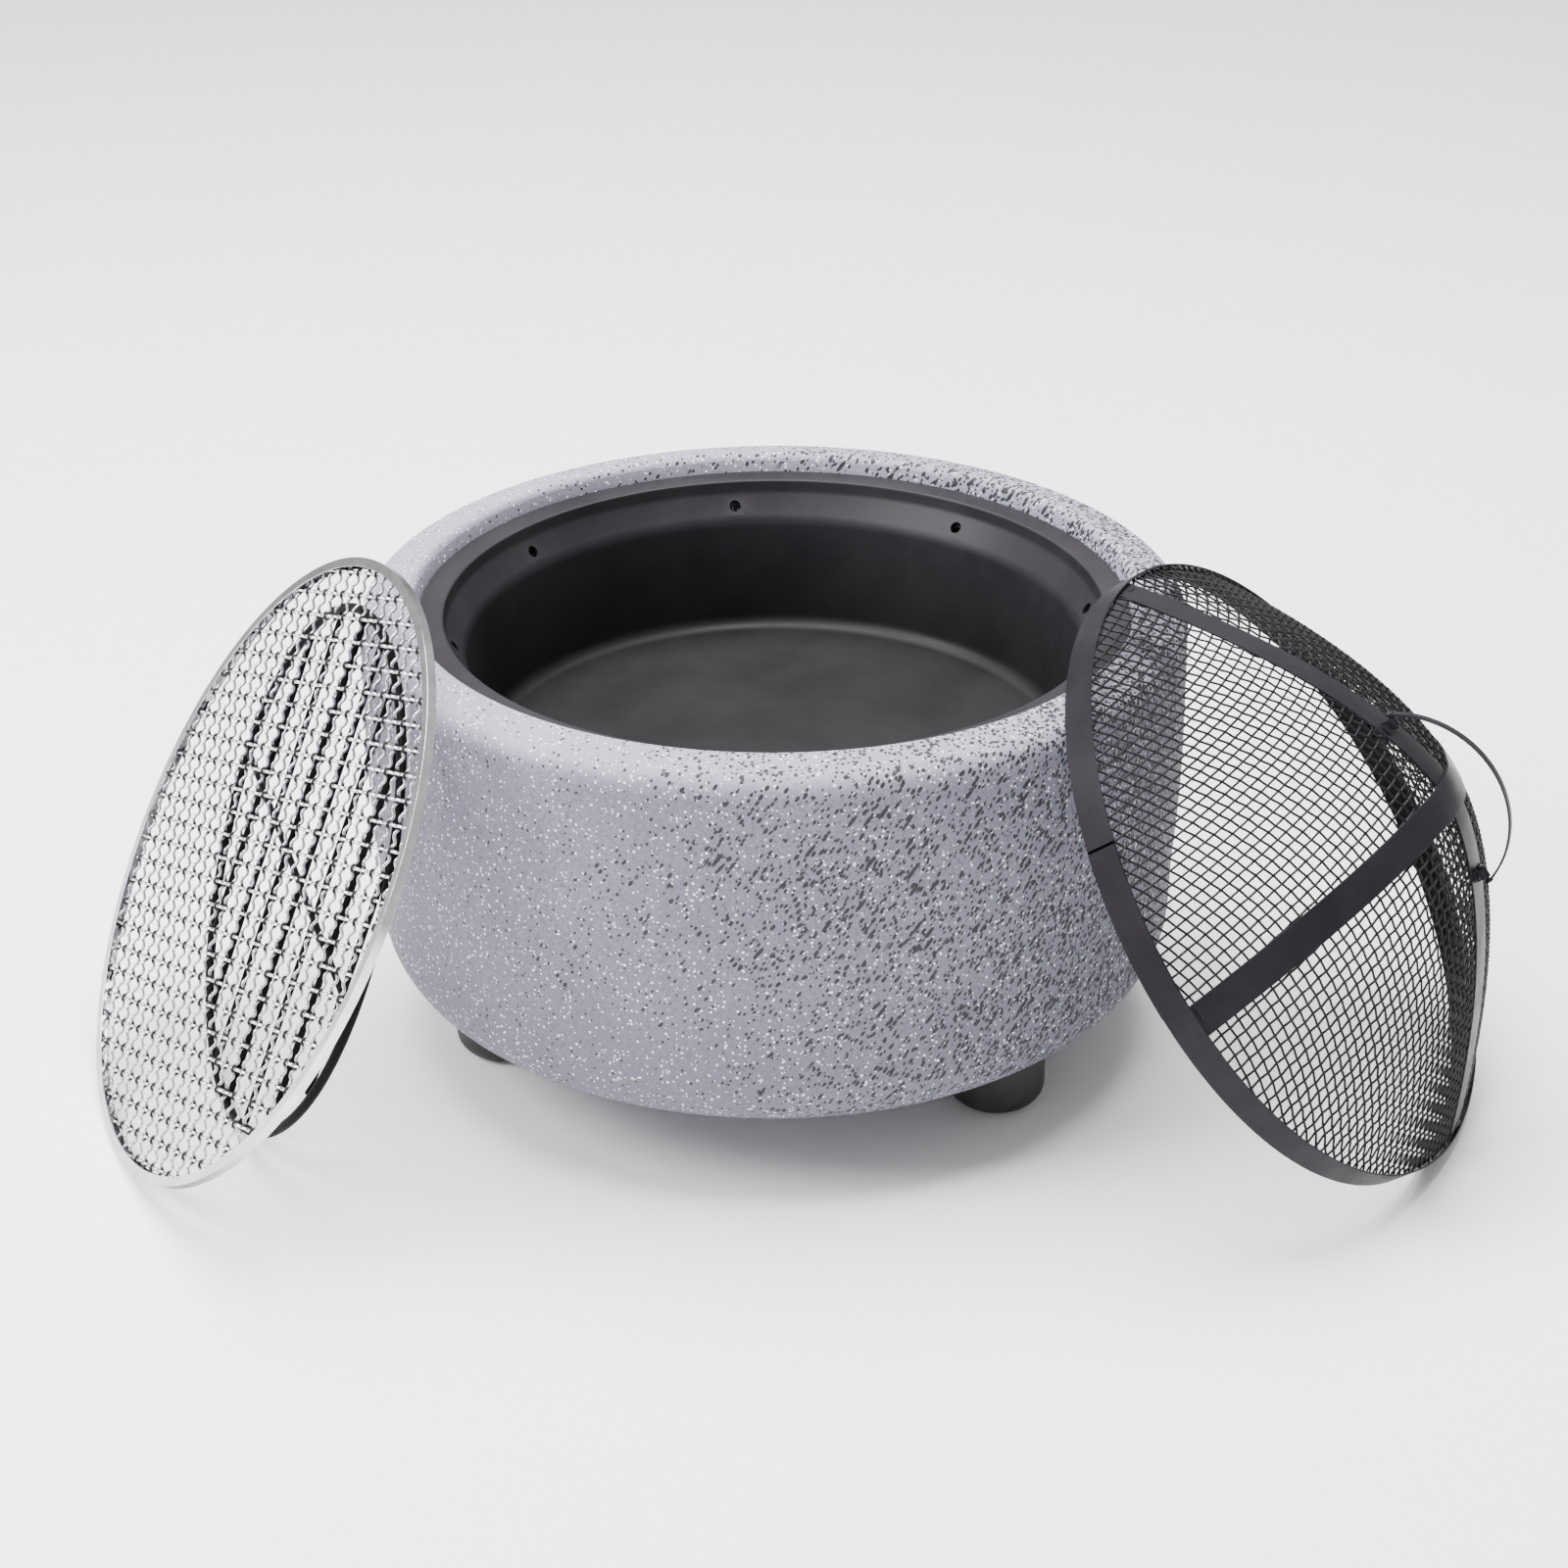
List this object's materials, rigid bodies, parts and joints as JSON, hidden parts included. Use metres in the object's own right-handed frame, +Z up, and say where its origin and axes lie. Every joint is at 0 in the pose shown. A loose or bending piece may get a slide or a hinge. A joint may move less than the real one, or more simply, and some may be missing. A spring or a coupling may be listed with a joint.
{
  "type": "fire pit with grate",
  "caption": "Round stone fire pit with a steel fire bowl on rubber feet, with a charcoal grate, a wire cooking grill and a domed mesh spark screen leaning on it.",
  "frame": {"origin": "on the drum's axis at floor level", "axes": "+Z up along the drum's axis, -Y towards the front, +X towards the side where the spark screen leans"},
  "size_m": [1.0329, 0.6832, 0.4026],
  "materials": {
    "stone": "cast terrazzo, light grey with white and black chips",
    "bowl_steel": "satin heat-proof dark grey-brown paint",
    "foot_rubber": "matt black",
    "screw_steel": "zinc plated",
    "insert_brass": "turned",
    "screen_black": "satin black paint",
    "screen_wire": "black painted wire mesh",
    "chrome": "bright plated",
    "grate_black": "black heat-proof paint"
  },
  "bodies": {
    "drum": {"stone_shell": "stone", "fire_bowl": "bowl_steel", "foot_right": "foot_rubber", "foot_left": "foot_rubber", "foot_back": "foot_rubber", "foot_screw_right": "screw_steel", "foot_screw_left": "screw_steel", "foot_screw_back": "screw_steel", "foot_insert_right": "insert_brass", "foot_insert_left": "insert_brass", "foot_insert_back": "insert_brass"},
    "spark_screen": {"screen_rim_band": "screen_black", "screen_mesh": "screen_wire", "screen_strap_upper": "screen_black", "screen_strap_lower": "screen_black", "handle_clip_top": "screen_black", "handle_clip_floor": "screen_black"},
    "screen_handle": {"handle": "screen_black"},
    "cooking_grill": {"grill_rim": "chrome", "grill_warp_wires": "chrome", "grill_weft_wires": "chrome"},
    "charcoal_grate": {"grate_ring": "grate_black", "grate_bars": "grate_black", "grate_cross_bar": "grate_black"}
  },
  "joints": [
    {"name": "screen_lift", "type": "slide", "parent": "drum", "child": "spark_screen", "axis": [0, 0, 1], "range_m": [0, 0.45]},
    {"name": "handle_hinge", "type": "hinge", "parent": "spark_screen", "child": "screen_handle", "pos_m": [0.45824, -0.19449, 0.27271], "axis": [-0.5253, 0.2653, 0.8085], "range_deg": [-80, 80]},
    {"name": "grill_lift", "type": "slide", "parent": "drum", "child": "cooking_grill", "axis": [0, 0, 1], "range_m": [0, 0.45]},
    {"name": "grate_slide", "type": "slide", "parent": "drum", "child": "charcoal_grate", "axis": [-0.3256, 0.9455, 0], "range_m": [0, 0.45]}
  ]
}
